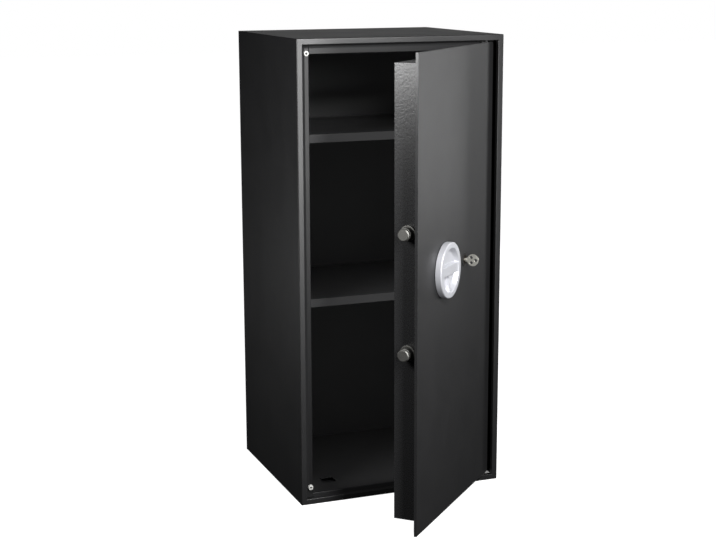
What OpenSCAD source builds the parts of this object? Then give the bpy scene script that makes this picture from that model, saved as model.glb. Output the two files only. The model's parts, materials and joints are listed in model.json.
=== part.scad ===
// Armoured document safe with an inset door that stands half open.
// Row frame: +Z up, the front faces -Y, and the origin is the centre of the base at the floor.
// Pieces are drawn in front coordinates (y = 0 at the front face, y grows into the cabinet, the door shut)
// and are then set in place by from_front() or, on the door, by on_door().

/* [Cabinet] */
// Overall height of the cabinet
body_h = 875; // [820:5:1100]
// Overall width of the cabinet
body_w = 410; // [400:5:560]
// Overall depth of the cabinet
body_d = 360; // [340:5:480]
// Thickness of the body's sheet
wall_t = 3; // [2:0.5:4]
// Width of the front rim, seen from the front
rim_w = 11; // [10:0.5:14]
// Depth of the rebate that the door plate lies in
rebate = 9.5; // [8.5:0.5:12]
// Radius of the folds at the front and top edges
bend_r = 2.5; // [1:0.5:2.5]
// Thickness of the door stops behind the rebate
stop_t = 3; // [2:0.5:4]
// Width of the stop that shows on the free side
stop_side = 15; // [13:0.5:16]
// Width of the stop that shows below the top rim
stop_top = 17.5; // [14:0.5:19]
// Height of the stop that shows above the sill
stop_sill = 8; // [5:0.5:12]
// Height of the raised inner floor above the base
liner_z = 11; // [9:0.5:11]
// Sheet of the raised inner floor
liner_t = 2; // [1.5:0.5:3]

/* [Anchor holes] */
// Diameter of the anchor holes in the floor and the back
anchor_d = 12.5; // [8:0.5:14]
// Side of the square access holes above the floor's anchor holes
access_w = 26; // [20:1:30]
// Distance between the floor's anchor holes, side to side
floor_span_x = 240; // [150:5:280]
// Distance between the floor's anchor holes, front to back
floor_span_y = 180; // [120:5:200]
// Distance between the back's anchor holes, side to side
back_span_x = 240; // [150:5:280]
// Distance between the back's anchor holes, up and down
back_span_z = 325; // [310:5:335]
// Height of the middle of the back's anchor holes
back_anchor_z = 492.5; // [487.5:2.5:497.5]

/* [Shelves] */
// Depth of the clear space in front of the shelves
shelf_setback = 62; // [58:1:80]
// Clear space between a shelf's rear edge and the back panel
shelf_rear_gap = 3; // [2:0.5:10]
// Sheet of the shelves
shelf_t = 1.5; // [1:0.25:2.5]
// Height of the folded lip round a shelf
shelf_lip = 16; // [12:1:22]
// Gap between a shelf's side and the uprights
shelf_side_gap = 2; // [1:0.25:3]
// Height of the lowest slot's shelf seat
slot_base = 30; // [28:1:40]
// Distance from one slot to the next
slot_pitch = 26; // [22:1:27]
// Slot that carries the lower shelf
lower_slot = 13; // [10:1:16]
// Slot that carries the upper shelf
upper_slot = 25; // [21:1:27]
// Width of an upright
upright_w = 22; // [18:1:28]
// How far an upright stands out from the side panel
upright_d = 8; // [7:0.5:10]
// Sheet of the uprights
upright_t = 1.5; // [1:0.25:2]
// Distance from a shelf's ends to its uprights
upright_in = 12; // [8:1:40]
// Width of a shelf clip
clip_w = 12; // [10:1:16]
// Length of the ledge that a shelf rests on
clip_ledge = 12; // [8:1:16]

/* [Door] */
// Angle at which the door stands open
door_open = 45; // [0:1:110]
// Thickness of the armour plate
plate_t = 5; // [4:0.5:6]
// Gap between the plate and the rim on the hinge side
gap_hinge = 4; // [3.5:0.25:6]
// Gap between the plate and the rim on the free side
gap_free = 3; // [2.5:0.25:5]
// Gap between the plate and the rim above and below
gap_z = 3; // [2.5:0.25:4]
// Distance from the plate's hinge edge to the hinge axis
pivot_in = 17.5; // [15:0.5:19]
// Distance from the door's front face back to the hinge axis
pivot_back = 7.5; // [7:0.25:8.5]
// Diameter of the hinge pins
hinge_pin_d = 7; // [5:0.5:7]
// Width of the hinge blocks on the door
block_w = 18; // [14:1:20]
// Height of the hinge blocks on the door
block_h = 36; // [30:1:50]
// Depth to which the hinge blocks are let into the plate
block_sink = 2.5; // [1.5:0.5:3]
// Reach of a hinge block behind the hinge axis
block_back = 6; // [5:0.5:8]
// Depth of the box behind the plate
box_d = 48; // [46:1:52]
// Sheet of the box behind the plate
box_t = 2; // [1.5:0.5:3]
// Distance from the plate's free edge to the box
box_in_free = 25; // [22:1:34]
// Distance from the plate's hinge edge to the box
box_in_hinge = 30; // [29:1:40]
// Distance from the plate's top and bottom edges to the box
box_in_z = 19; // [18:1:26]
// Width of the folded flange that carries the cover
flange_w = 14; // [12:1:18]
// Diameter of the fixed dogs on the hinge side
dog_d = 14; // [10:1:14]
// Overlap of a fixed dog behind the jamb strip
dog_grip = 7; // [4:1:7]
// Width of the jamb strip on the hinge side
jamb_w = 22; // [18:1:22]

/* [Bolt work] */
// Diameter of the locking bolts
bolt_d = 22; // [16:1:22]
// Travel of the locking bolts
stroke = 20; // [18:1:22]
// Reach of a thrown bolt past the box
bolt_reach = 25; // [24:0.5:25]
// Distance from the door's front face back to the bolt axis
bolt_y = 27; // [27:0.5:28]
// Height of the upper bolt above the handle's axis
bolt_up = 82.5; // [70:0.5:140]
// Depth of the lower bolt below the handle's axis
bolt_down = 129.5; // [100:0.5:160]
// Thickness of the bolt bar
bar_t = 4; // [3:0.5:4]
// Width of the bolt bar
bar_w = 28; // [26:1:34]
// Diameter of the bolts' collars
collar_d = 28; // [26:1:30]
// Reach of a collar in front of the box's side
collar_reach = 4; // [3:0.5:5]

/* [Handle] */
// Distance from the plate's free edge to the handle's axis
handle_in = 132; // [128:1:145]
// Height of the handle's axis
handle_z = 470.5; // [440:0.5:500]
// Diameter of the round handle
handle_d = 101; // [98:1:110]
// Thickness of the round handle
handle_t = 11.8; // [11:0.2:14]
// Diameter of the dish at the handle's face
dish_d = 80.5; // [76:0.5:84]
// Diameter of the dish at its floor
dish_floor_d = 71; // [66:1:74]
// Thickness of the dish behind the grip
dish_t = 3.2; // [3:0.2:4]
// Height of the grip across the dish
grip_h = 20.5; // [18:0.5:26]
// Width of the rib below the grip
rib_w = 8; // [6:1:14]
// Diameter of the handle's spindle
spindle_d = 12; // [10:0.5:13]

/* [Lock] */
// Distance from the handle's axis to the key
key_off = 102; // [96:1:106]
// Width of the lock case
case_w = 80; // [76:1:84]
// Height of the lock case
case_h = 81; // [80:1:90]
// Wall of the lock case
case_t = 2.5; // [2:0.5:3]
// Thickness of the hard plate in front of the lock
hard_t = 3; // [2:0.5:3]
// Diameter of the lock's plug
plug_d = 18; // [17.5:0.5:19]
// Travel of the lock's tongue
tongue_throw = 12; // [10:1:13]
// Diameter of the key's bow
bow_d = 22; // [18:1:26]
// Thickness of the key's blade and bow
blade_t = 2.6; // [2:0.2:3]

/* [Hidden] */
$fn = 64;

// Radial clearance of the running fits
fit = 0.05;
// Clearance round pieces that pass through a hole without bearing
slack = 0.7;

half_w = body_w / 2;
inner_x = half_w - wall_t;
open_x = half_w - rim_w;
rim_z1 = body_h - rim_w;
back_y = body_d - wall_t;
stop_y1 = rebate + stop_t;

plate_x0 = -open_x + gap_free;
plate_x1 = open_x - gap_hinge;
plate_z0 = rim_w + gap_z;
plate_z1 = rim_z1 - gap_z;
pivot_x = plate_x1 - pivot_in;
pivot_y = pivot_back;
// Radius that the plate's hinge-side corner sweeps
swing_r = sqrt(pivot_in * pivot_in + pivot_back * pivot_back);

block_y0 = plate_t - block_sink;
block_y1 = pivot_y + block_back;
// Radius that a hinge block sweeps
block_r = sqrt(pow(block_w / 2, 2) + block_back * block_back);
stop_x1 = pivot_x - block_r - 1;
pin_bite = block_h - 6;
hinge_plate_x0 = pivot_x - block_w - 4.5;
hinge_plate_y1 = pivot_y + block_w - 1;
washer_d = 2 * hinge_pin_d;
washer_gap = 0.2;
block_walls = block_sink + pivot_y - plate_t;

jamb_y0 = pivot_y + swing_r + 1;
jamb_y1 = jamb_y0 + stop_t;

box_x0 = plate_x0 + box_in_free;
box_x1 = plate_x1 - box_in_hinge;
box_z0 = plate_z0 + box_in_z;
box_z1 = plate_z1 - box_in_z;
cover_y1 = plate_t + box_d;
cover_y0 = cover_y1 - box_t;
flange_y0 = cover_y0 - box_t;
dog_gap = 1.5;
dog_y = jamb_y1 + dog_gap + dog_d / 2;
dog_x1 = inner_x - jamb_w + dog_grip;
dog_heights = [for (share = [0.18, 0.5, 0.82]) plate_z0 + share * (plate_z1 - plate_z0)];
dog_head = 3;

screw_d = 4;
screw_head_d = 8;
screw_head_t = 1.6;
screw_l = 8;
cover_screw_rows = 4;
cover_screw_end = 24;

handle_x = plate_x0 + handle_in;
bolt_heights = [handle_z - bolt_down, handle_z + bolt_up];
bolt_x0 = box_x0 - bolt_reach;
bar_from_handle = 53;
bar_x0 = handle_x - bar_from_handle;
bar_behind_axis = 7;
bar_y0 = bolt_y + bar_behind_axis;
bar_y1 = bar_y0 + bar_t;
bolt_tail = 6;
bolt_x1 = bar_x0 + bar_w + bolt_tail;
bolt_flat_gap = 2;
bolt_flat_x = bar_x0 - bolt_flat_gap;
guide_t = 12;
guide_gap = 11;
guide_x1 = bar_x0 - guide_gap;
guide_extra = 12;
guide_h = bolt_d + guide_extra;
bar_end = 19;
bar_screw_d = 6;
bar_screw_head_d = 10;
bar_screw_head_t = 3;
bar_screw_l = 12;
bar_screw_in = 8;
bar_screw_out = 6;
bar_screw_x = [bar_x0 + bar_screw_in, bar_x0 + bar_w - bar_screw_out];
tip_chamfer = 2;
groove_at = 6;
groove_w = 2;
groove_t = 1;

// The drive pin swings a quarter turn about the spindle and carries the bar through its stroke
orbit_r = stroke / (2 * sin(45));
drive_pin_d = 8;
disc_gap = 1;
disc_y0 = bar_y1 + disc_gap;
disc_t = 4;
disc_edge = 2;
disc_d = 2 * (orbit_r + drive_pin_d / 2 + disc_edge);
clip_t = 1.2;
clip_y0 = disc_y0 + disc_t + 0.2;
clip_groove_d = spindle_d - 2;
spindle_tip = 1.4;
spindle_y1 = clip_y0 + clip_t + spindle_tip;
bush_wall = 2;
bush_d = spindle_d + 2 * bush_wall;
bush_flange = 6;
bush_flange_d = spindle_d + 2 * bush_flange;
bush_flange_t = 3;
web_side = 15;
web_below = 19;
web_above = 12;
web_x1 = handle_x + spindle_d / 2 + web_side;
web_z0 = handle_z - spindle_d / 2 - web_below;
web_z1 = handle_z + orbit_r + drive_pin_d / 2 + web_above;

handle_gap = 0.6;
handle_y0 = -handle_gap - handle_t;
dish_y = -handle_gap - dish_t;
grip_sink = 2.4;
grip_y0 = handle_y0 + grip_sink;
spindle_y0 = grip_y0 + 2.4;
rim_chamfer = 1.5;

key_x = handle_x + key_off;
key_z = handle_z;
hard_y1 = plate_t + hard_t;
case_x0 = key_x - case_w / 2;
case_x1 = key_x + case_w / 2;
case_z0 = key_z - case_h / 2;
case_z1 = key_z + case_h / 2;
case_y1 = bar_y1;
lock_cover_t = 2;
boss_d = 10;
boss_in = 8;
lock_screw_d = 5;
lock_screw_head_d = 9;
lock_screw_head_t = 3;
plug_face = 1.5;
cam_pin_d = 5;
cam_orbit_r = tongue_throw / (2 * sin(45));
tongue_front = 1.5;
tongue_y0 = bar_y0 - tongue_front;
tongue_back = 0.6;
tongue_y1 = bar_y1 - tongue_back;
cam_t = 2.5;
cam_gap = 1.5;
cam_y0 = tongue_y0 - cam_gap - cam_t;
cam_edge = 2;
cam_d = 2 * (cam_orbit_r + cam_pin_d / 2 + cam_edge);
plug_flange_edge = 3;
plug_flange_d = plug_d + 2 * plug_flange_edge;
plug_flange_t = 2.5;
tab_w = 6;
tab_gap = 1;
// The tongue fills the bar's stroke between the two places of the stop tab
tongue_w = stroke - tab_w - 2 * tab_gap;
tongue_in = 14;
tongue_x0 = key_x - tongue_in;
tongue_head_w = 29;
tongue_head_down = 10;
tongue_head_up = 21;
tongue_rest_z = key_z + tongue_throw / 2;
tab_x1 = tongue_x0 - tab_gap;
tab_below_case = 3;
tab_z1 = case_z0 - tab_below_case;
arm_h = 14;
arm_gap = 8;
arm_z1 = case_z0 - tongue_throw - arm_gap;
key_tip_gap = 0.7;
key_tip_y = cam_y0 - key_tip_gap;
key_shank_d = 5.5;
key_bit_h = 13;
key_bit_l = 11;
key_neck = 5.5;
key_slot_gap = 0.1;
rose_t = 1.2;
rose_edge = 4;
rose_d = plug_d + 2 * rose_edge;

buffer_d = 11;
buffer_bore = 4;
buffer_in = 6.5;
buffer_end = 16;

shelf_seats = [slot_base + lower_slot * slot_pitch, slot_base + upper_slot * slot_pitch];
web_x = inner_x - upright_d;
shelf_x = web_x - shelf_side_gap;
shelf_y1 = back_y - shelf_rear_gap;
upright_y = [shelf_setback + upright_in, shelf_y1 - upright_in - upright_w];
upright_z1 = rim_z1 - 4;
slot_w = 3.5;
slot_h = 12;
slot_drop = 3;
slot_count = floor((upright_z1 - slot_base) / slot_pitch) + 1;
clip_t_sheet = 1.6;
clip_leg = 18;
hook_w = 3;
hook_h = 8;
hook_gap = 0.5;

paint = [0.10, 0.10, 0.11];
paint_box = [0.14, 0.14, 0.15];
steel = [0.62, 0.62, 0.64];
dark_steel = [0.35, 0.35, 0.37];
silver = [0.84, 0.85, 0.87];
nickel = [0.76, 0.75, 0.72];
bronze = [0.70, 0.55, 0.30];
nylon = [0.85, 0.85, 0.83];

// Front coordinates to the row frame
module from_front() translate([0, -body_d / 2, 0]) children();

// The shut door's coordinates to the row frame, with the door standing open
module on_door() from_front()
    translate([pivot_x, pivot_y, 0]) rotate([0, 0, door_open]) translate([-pivot_x, -pivot_y, 0])
        children();

// A block between two corners
module slab(x0, x1, y0, y1, z0, z1) translate([x0, y0, z0]) cube([x1 - x0, y1 - y0, z1 - z0]);

// Round bars along each axis
module rod_x(d, y, z, x0, x1) translate([x0, y, z]) rotate([0, 90, 0]) cylinder(d = d, h = x1 - x0);
module rod_y(d, x, z, y0, y1) translate([x, y0, z]) rotate([-90, 0, 0]) cylinder(d = d, h = y1 - y0);
module rod_z(d, x, y, z0, z1) translate([x, y, z0]) cylinder(d = d, h = z1 - z0);

// What a fold of radius r leaves outside itself, at the corner of a quarter plane
module fold_waste(r) difference() {
    translate([-1, -1]) square(r + 1);
    translate([r, r]) circle(r = r);
}

// Cabinet

// The side panel on the left, or on the right when side is 1
module side_panel(side) color(paint) from_front()
    slab(side < 0 ? -half_w : inner_x, side < 0 ? -inner_x : half_w, wall_t, back_y, 0, body_h);

module side_panel_left() side_panel(-1);

module side_panel_right() side_panel(1);

module roof_panel() color(paint) from_front()
    slab(-inner_x, inner_x, wall_t, back_y, body_h - wall_t, body_h);

module floor_panel() color(paint) from_front() difference() {
    slab(-inner_x, inner_x, wall_t, back_y, 0, wall_t);
    floor_anchors(anchor_d);
}

// The four upright holes of the floor's anchor pattern
module floor_anchors(d) for (x = [-1, 1], y = [-1, 1])
    rod_z(d, x * floor_span_x / 2, body_d / 2 + y * floor_span_y / 2, -1, liner_z + 1);

module back_panel() color(paint) from_front() difference() {
    slab(-half_w, half_w, back_y, body_d, 0, body_h);
    for (x = [-1, 1], z = [-1, 1])
        rod_y(anchor_d, x * back_span_x / 2, back_anchor_z + z * back_span_z / 2, back_y - 1, body_d + 1);
}

// An upright of the front frame: the rim's face, folded back into the rebate
module stile(side) color(paint) from_front() mirror([side > 0 ? 1 : 0, 0, 0]) difference() {
    linear_extrude(body_h) difference() {
        union() {
            translate([-half_w, 0]) square([rim_w, wall_t]);
            translate([-open_x - wall_t, 0]) square([wall_t, rebate]);
        }
        translate([-half_w, 0]) fold_waste(bend_r);
    }
    for (z = [-1, body_h - wall_t])
        slab(-open_x - wall_t - 1, -open_x + 1, wall_t, rebate + 1, z, z + wall_t + 1);
}

module stile_left() stile(-1);

module stile_right() stile(1);

// A rail of the front frame, given the heights of its outer and inner edges
module rail(z_out, z_in) color(paint) from_front() {
    low = min(z_out, z_in);
    fold = z_in < z_out ? z_in : z_in - wall_t;
    slab(-open_x, open_x, 0, wall_t, low, low + rim_w);
    slab(-open_x, hinge_plate_x0, wall_t, rebate, fold, fold + wall_t);
}

module rail_top() rail(body_h, rim_z1);

module rail_bottom() rail(0, rim_w);

module stop_left() color(paint) from_front()
    slab(-open_x - wall_t, -open_x + stop_side, rebate, stop_y1, rim_w, rim_z1);

module stop_top() color(paint) from_front() difference() {
    slab(-open_x + stop_side, stop_x1, rebate, stop_y1, rim_z1 - stop_top, rim_z1 + wall_t);
    slab(hinge_plate_x0, open_x, rebate - 1, stop_y1 + 1, rim_z1, body_h);
}

module stop_bottom() color(paint) from_front() difference() {
    slab(-open_x + stop_side, stop_x1, rebate, stop_y1, rim_w - wall_t, rim_w + stop_sill);
    slab(hinge_plate_x0, open_x, rebate - 1, stop_y1 + 1, 0, rim_w);
}

module jamb_strip() color(paint) from_front()
    slab(inner_x - jamb_w, inner_x, jamb_y0, jamb_y1, liner_z, body_h - wall_t);

// A welded plate that carries a hinge pin
module hinge_plate(z0, z1) color(paint) from_front() difference() {
    slab(hinge_plate_x0, open_x, wall_t, hinge_plate_y1, z0, z1);
    rod_z(hinge_pin_d, pivot_x, pivot_y, z0 - 1, z1 + 1);
}

module hinge_plate_top() hinge_plate(rim_z1, body_h - wall_t);

module hinge_plate_bottom() hinge_plate(wall_t, rim_w);

module hinge_pin_top() color(steel) from_front()
    rod_z(hinge_pin_d, pivot_x, pivot_y, plate_z1 - pin_bite, body_h - wall_t);

module hinge_pin_bottom() color(steel) from_front()
    rod_z(hinge_pin_d, pivot_x, pivot_y, wall_t, plate_z0 + pin_bite);

module hinge_washer() color(steel) from_front() difference() {
    rod_z(washer_d, pivot_x, pivot_y, rim_w, plate_z0 - washer_gap);
    rod_z(hinge_pin_d + 2 * fit, pivot_x, pivot_y, rim_w - 1, plate_z0 + 1);
}

// The raised inner floor: a shallow tray turned over, cut out round the lower hinge plate
module inner_floor() color(paint) from_front() difference() {
    slab(-inner_x, inner_x, stop_y1, back_y, liner_z - liner_t, liner_z);
    slab(hinge_plate_x0 - 1, inner_x + 1, stop_y1 - 1, hinge_plate_y1 + 1, liner_z - liner_t - 1, liner_z + 1);
    for (x = [-1, 1], y = [-1, 1])
        translate([x * floor_span_x / 2, body_d / 2 + y * floor_span_y / 2, liner_z])
            cube([access_w, access_w, 3 * liner_t], center = true);
}

// The two strips that the inner floor lies on
module floor_bearers() color(paint) from_front() {
    slab(-inner_x, liner_t - inner_x, stop_y1, back_y, wall_t, liner_z - liner_t);
    slab(inner_x - liner_t, inner_x, hinge_plate_y1 + 1, back_y, wall_t, liner_z - liner_t);
}

// A slotted upright: a channel with its open side on the side panel
module upright(side, y0) color(paint_box) from_front() mirror([side > 0 ? 1 : 0, 0, 0]) difference() {
    slab(-inner_x, -web_x, y0, y0 + upright_w, liner_z, upright_z1);
    slab(-inner_x - 1, -web_x - upright_t, y0 + upright_t, y0 + upright_w - upright_t,
        liner_z - 1, upright_z1 + 1);
    for (i = [1:slot_count - 1])
        slab(-web_x - upright_t - 1, -web_x + 1,
            y0 + upright_w / 2 - slot_w / 2, y0 + upright_w / 2 + slot_w / 2,
            slot_base + i * slot_pitch - slot_drop - slot_h, slot_base + i * slot_pitch - slot_drop);
}

module upright_front_left() upright(-1, upright_y[0]);

module upright_front_right() upright(1, upright_y[0]);

module upright_rear_left() upright(-1, upright_y[1]);

module upright_rear_right() upright(1, upright_y[1]);

// A shelf: sheet with a lip folded down all round, given the height that its lips rest at
module shelf(seat) color(paint) from_front() difference() {
    slab(-shelf_x, shelf_x, shelf_setback, shelf_y1, seat, seat + shelf_lip);
    slab(-shelf_x + shelf_t, shelf_x - shelf_t, shelf_setback + shelf_t, shelf_y1 - shelf_t,
        seat - 1, seat + shelf_lip - shelf_t);
}

module shelf_upper() shelf(shelf_seats[1]);

module shelf_lower() shelf(shelf_seats[0]);

// A clip that hooks into an upright and carries a shelf's corner
module shelf_clip(seat, y) {
    web_out = -web_x - upright_t;
    slab(-web_x, -web_x + clip_ledge, y - clip_w / 2, y + clip_w / 2, seat - clip_t_sheet, seat);
    slab(-web_x, -web_x + clip_t_sheet, y - clip_w / 2, y + clip_w / 2, seat - clip_leg, seat);
    slab(web_out - hook_gap - clip_t_sheet, -web_x, y - hook_w / 2, y + hook_w / 2,
        seat - slot_drop - hook_h - 2, seat - slot_drop - 2);
    slab(web_out - hook_gap - clip_t_sheet, web_out - hook_gap, y - hook_w / 2, y + hook_w / 2,
        seat - clip_leg, seat - slot_drop - 2);
}

module shelf_clips() color(steel) from_front()
    for (seat = shelf_seats, y = upright_y, side = [0, 1])
        mirror([side, 0, 0]) shelf_clip(seat, y + upright_w / 2);

// Ring buffers that the shut plate rests on, one near each end of the free-side stop
module door_buffers() color(nylon) from_front()
    for (z = [rim_w + buffer_end + 4, rim_z1 - buffer_end]) difference() {
        rod_y(buffer_d, -open_x + stop_side - buffer_in + 1, z, plate_t + 0.3, rebate);
        rod_y(buffer_bore, -open_x + stop_side - buffer_in + 1, z, plate_t - 1, rebate + 1);
    }

// Door

module door_plate() color(paint) on_door() difference() {
    slab(plate_x0, plate_x1, 0, plate_t, plate_z0, plate_z1);
    rod_y(bush_d, handle_x, handle_z, -1, plate_t + 1);
    rod_y(plug_d + 2 * fit, key_x, key_z, -1, plate_t + 1);
    for (x = [case_x0 + boss_in, case_x1 - boss_in], z = [case_z0 + boss_in, case_z1 - boss_in])
        rod_y(lock_screw_d, x, z, 2, plate_t + 1);
    for (z0 = [plate_z0 - 1, plate_z1 - block_h])
        slab(pivot_x - block_w / 2, pivot_x + block_w / 2, block_y0, plate_t + 1, z0, z0 + block_h + 1);
}

// A side wall of the box, with the flange that the cover is screwed to
module box_side(x_out, dir) {
    x_in = x_out + dir * box_t;
    x_lip = x_out + dir * flange_w;
    slab(min(x_out, x_in), max(x_out, x_in), plate_t, cover_y0, box_z0, box_z1);
    slab(min(x_in, x_lip), max(x_in, x_lip), flange_y0, cover_y0, box_z0 + box_t, box_z1 - box_t);
}

module box_side_free() color(paint_box) on_door() difference() {
    box_side(box_x0, 1);
    for (z = bolt_heights) rod_x(collar_d - 2, bolt_y, z, box_x0 - 1, box_x0 + box_t + 1);
    cover_screw_holes(screw_d);
}

module box_side_hinge() color(paint_box) on_door() difference() {
    box_side(box_x1, -1);
    for (z = dog_heights) rod_x(dog_d, dog_y, z, box_x1 - box_t - 1, box_x1 + 1);
    cover_screw_holes(screw_d);
}

// An end wall of the box, between its side walls
module box_end(z_out, dir) color(paint_box) on_door() {
    z_in = z_out + dir * box_t;
    z_lip = z_out + dir * flange_w;
    slab(box_x0 + box_t, box_x1 - box_t, plate_t, cover_y0, min(z_out, z_in), max(z_out, z_in));
    slab(box_x0 + flange_w, box_x1 - flange_w, flange_y0, cover_y0, min(z_in, z_lip), max(z_in, z_lip));
}

module box_wall_top() box_end(box_z1, -1);

module box_wall_bottom() box_end(box_z0, 1);

// The places of the cover's screws: a row down each side
module cover_screw_places() {
    step = (box_z1 - box_z0 - 2 * cover_screw_end) / (cover_screw_rows - 1);
    for (x = [box_x0 + flange_w / 2 + 1, box_x1 - flange_w / 2 - 1], i = [0:cover_screw_rows - 1])
        translate([x, 0, box_z0 + cover_screw_end + i * step]) children();
}

module cover_screw_holes(d) cover_screw_places() rod_y(d, 0, 0, flange_y0 - 1, cover_y1 + 1);

module box_cover() color(paint_box) on_door() difference() {
    slab(box_x0, box_x1, cover_y0, cover_y1, box_z0, box_z1);
    cover_screw_holes(screw_d + 0.3);
}

module cover_screws() color(steel) on_door() cover_screw_places() {
    rod_y(screw_d, 0, 0, cover_y1 - screw_l, cover_y1);
    rod_y(screw_head_d, 0, 0, cover_y1, cover_y1 + screw_head_t);
}

// A block let into the plate's back, bored for a hinge pin
module hinge_block(z0, bore_z0, bore_z1) color(dark_steel) on_door() difference() {
    slab(pivot_x - block_w / 2, pivot_x + block_w / 2, block_y0, block_y1, z0, z0 + block_h);
    rod_z(hinge_pin_d + 2 * fit, pivot_x, pivot_y, bore_z0, bore_z1);
}

module hinge_block_top() hinge_block(plate_z1 - block_h, plate_z1 - pin_bite - 1, plate_z1 + 1);

module hinge_block_bottom() hinge_block(plate_z0, plate_z0 - 1, plate_z0 + pin_bite + 1);

// Fixed dogs that reach behind the jamb strip when the door is shut
module fixed_dogs() color(steel) on_door() for (z = dog_heights) {
    rod_x(dog_d, dog_y, z, box_x1 - box_t, dog_x1);
    rod_x(dog_d + 4, dog_y, z, box_x1 - box_t - dog_head, box_x1 - box_t);
}

// A flanged collar in the box's side that a bolt slides in
module bolt_collar(z) color(steel) on_door() difference() {
    union() {
        rod_x(collar_d, bolt_y, z, box_x0 - collar_reach, box_x0);
        rod_x(collar_d - 2, bolt_y, z, box_x0, box_x0 + box_t + 6);
    }
    rod_x(bolt_d + 2 * fit, bolt_y, z, box_x0 - collar_reach - 1, box_x0 + box_t + 7);
}

module bolt_collar_upper() bolt_collar(bolt_heights[1]);

module bolt_collar_lower() bolt_collar(bolt_heights[0]);

// A block welded to the plate that guides a bolt's inner end
module bolt_guide(z) color(dark_steel) on_door() difference() {
    slab(guide_x1 - guide_t, guide_x1, plate_t, bolt_y + guide_h / 2 - 3, z - guide_h / 2, z + guide_h / 2);
    rod_x(bolt_d + 2 * fit, bolt_y, z, guide_x1 - guide_t - 1, guide_x1 + 1);
}

module bolt_guide_upper() bolt_guide(bolt_heights[1]);

module bolt_guide_lower() bolt_guide(bolt_heights[0]);

module spindle_bush() color(bronze) on_door() difference() {
    union() {
        rod_y(bush_d, handle_x, handle_z, 0, plate_t);
        rod_y(bush_flange_d, handle_x, handle_z, plate_t, plate_t + bush_flange_t);
    }
    rod_y(spindle_d + 2 * fit, handle_x, handle_z, -1, plate_t + bush_flange_t + 1);
}

// The places of the four long screws that hold the lock
module lock_screw_places()
    for (x = [case_x0 + boss_in, case_x1 - boss_in], z = [case_z0 + boss_in, case_z1 - boss_in])
        translate([x, 0, z]) children();

module hard_plate() color(dark_steel) on_door() difference() {
    slab(case_x0 - 5, case_x1 + 5, plate_t, hard_y1, case_z0 - 5, case_z1 + 5);
    rod_y(plug_d + 2 * fit, key_x, key_z, plate_t - 1, hard_y1 + 1);
    lock_screw_places() rod_y(lock_screw_d, 0, 0, plate_t - 1, hard_y1 + 1);
}

// The lock's case: an open tray with a boss in each corner and a slot below for the tongue
module lock_case() color(nickel) on_door() difference() {
    union() {
        difference() {
            slab(case_x0, case_x1, hard_y1, case_y1, case_z0, case_z1);
            slab(case_x0 + case_t, case_x1 - case_t, hard_y1 + case_t, case_y1 + 1,
                case_z0 + case_t, case_z1 - case_t);
        }
        lock_screw_places() rod_y(boss_d, 0, 0, hard_y1 + case_t / 2, case_y1);
    }
    rod_y(plug_d + 2 * fit, key_x, key_z, hard_y1 - 1, hard_y1 + case_t + 1);
    lock_screw_places() rod_y(lock_screw_d, 0, 0, hard_y1 - 1, case_y1 + 1);
    slab(tongue_x0 - 0.3, tongue_x0 + tongue_w + 0.3, tongue_y0 - 0.3, case_y1 + 1,
        case_z0 - 1, case_z0 + case_t + 1);
}

module lock_cover() color(nickel) on_door() difference() {
    slab(case_x0, case_x1, case_y1, case_y1 + lock_cover_t, case_z0, case_z1);
    lock_screw_places() rod_y(lock_screw_d, 0, 0, case_y1 - 1, case_y1 + lock_cover_t + 1);
}

module lock_screws() color(steel) on_door() lock_screw_places() {
    rod_y(lock_screw_d, 0, 0, 2.5, case_y1 + lock_cover_t);
    rod_y(lock_screw_head_d, 0, 0, case_y1 + lock_cover_t, case_y1 + lock_cover_t + lock_screw_head_t);
}

// The dark ring round the lock's plug on the door's front
module key_rose() color(paint) on_door() difference() {
    rod_y(rose_d, key_x, key_z, -rose_t, 0);
    rod_y(plug_d + 4 * fit, key_x, key_z, -rose_t - 1, 1);
}

// Bolt work

// A round locking bolt with a chamfered nose, a turned groove and a flat at its tail
module bolt(z) color(steel) on_door() difference() {
    translate([bolt_x0, bolt_y, z]) rotate([0, 90, 0]) rotate_extrude() polygon([
        [0, 0], [bolt_d / 2 - tip_chamfer, 0], [bolt_d / 2, tip_chamfer],
        [bolt_d / 2, groove_at], [bolt_d / 2 - groove_t, groove_at],
        [bolt_d / 2 - groove_t, groove_at + groove_w], [bolt_d / 2, groove_at + groove_w],
        [bolt_d / 2, bolt_x1 - bolt_x0], [0, bolt_x1 - bolt_x0]]);
    slab(bolt_flat_x, bolt_x1 + 1, bar_y0, bolt_y + bolt_d, z - bolt_d, z + bolt_d);
    for (x = bar_screw_x) rod_y(bar_screw_d, x, z, bar_y1 - bar_screw_l, bar_y0 + 1);
}

module bolt_upper() bolt(bolt_heights[1]);

module bolt_lower() bolt(bolt_heights[0]);

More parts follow.
